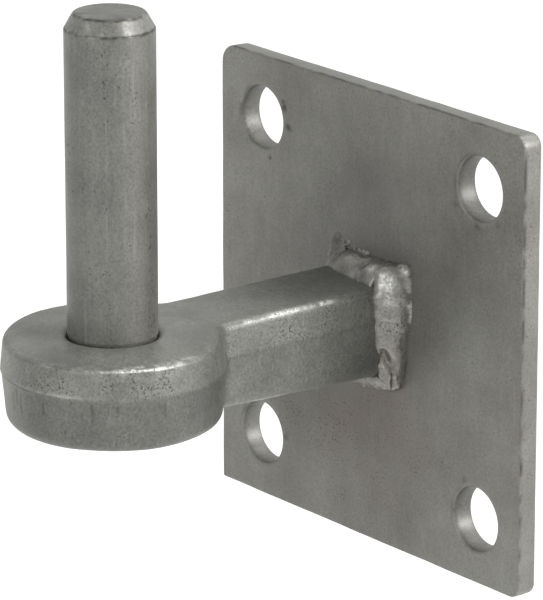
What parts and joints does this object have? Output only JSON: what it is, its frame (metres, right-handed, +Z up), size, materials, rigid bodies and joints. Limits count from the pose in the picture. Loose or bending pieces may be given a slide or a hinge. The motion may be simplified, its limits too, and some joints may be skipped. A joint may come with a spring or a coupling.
{
  "type": "gate hinge pin",
  "caption": "Square bolt-on back plate with a forged arm welded to it, whose ring eye holds an upright round pin for a gate's hinge eye to hang and turn on.",
  "frame": {"origin": "centre of the back plate's mounting face", "axes": "+Y into the post that the plate is bolted to, +Z up along the pin, +X to the right of someone facing the plate"},
  "size_m": [0.1016, 0.0964, 0.129],
  "materials": {
    "plate_steel": "bare hot-rolled plate, dull grey",
    "forged_steel": "bare drop forging, dull grey with worn edges",
    "pin_steel": "bare drawn bar, dull grey",
    "weld_metal": "bare weld metal, rippled"
  },
  "bodies": {
    "root": {"back_plate": "plate_steel", "eye_arm": "forged_steel", "hinge_pin": "pin_steel", "weld_top": "weld_metal", "weld_right": "weld_metal", "weld_left": "weld_metal", "weld_bottom": "weld_metal", "pin_weld": "weld_metal"}
  },
  "joints": []
}
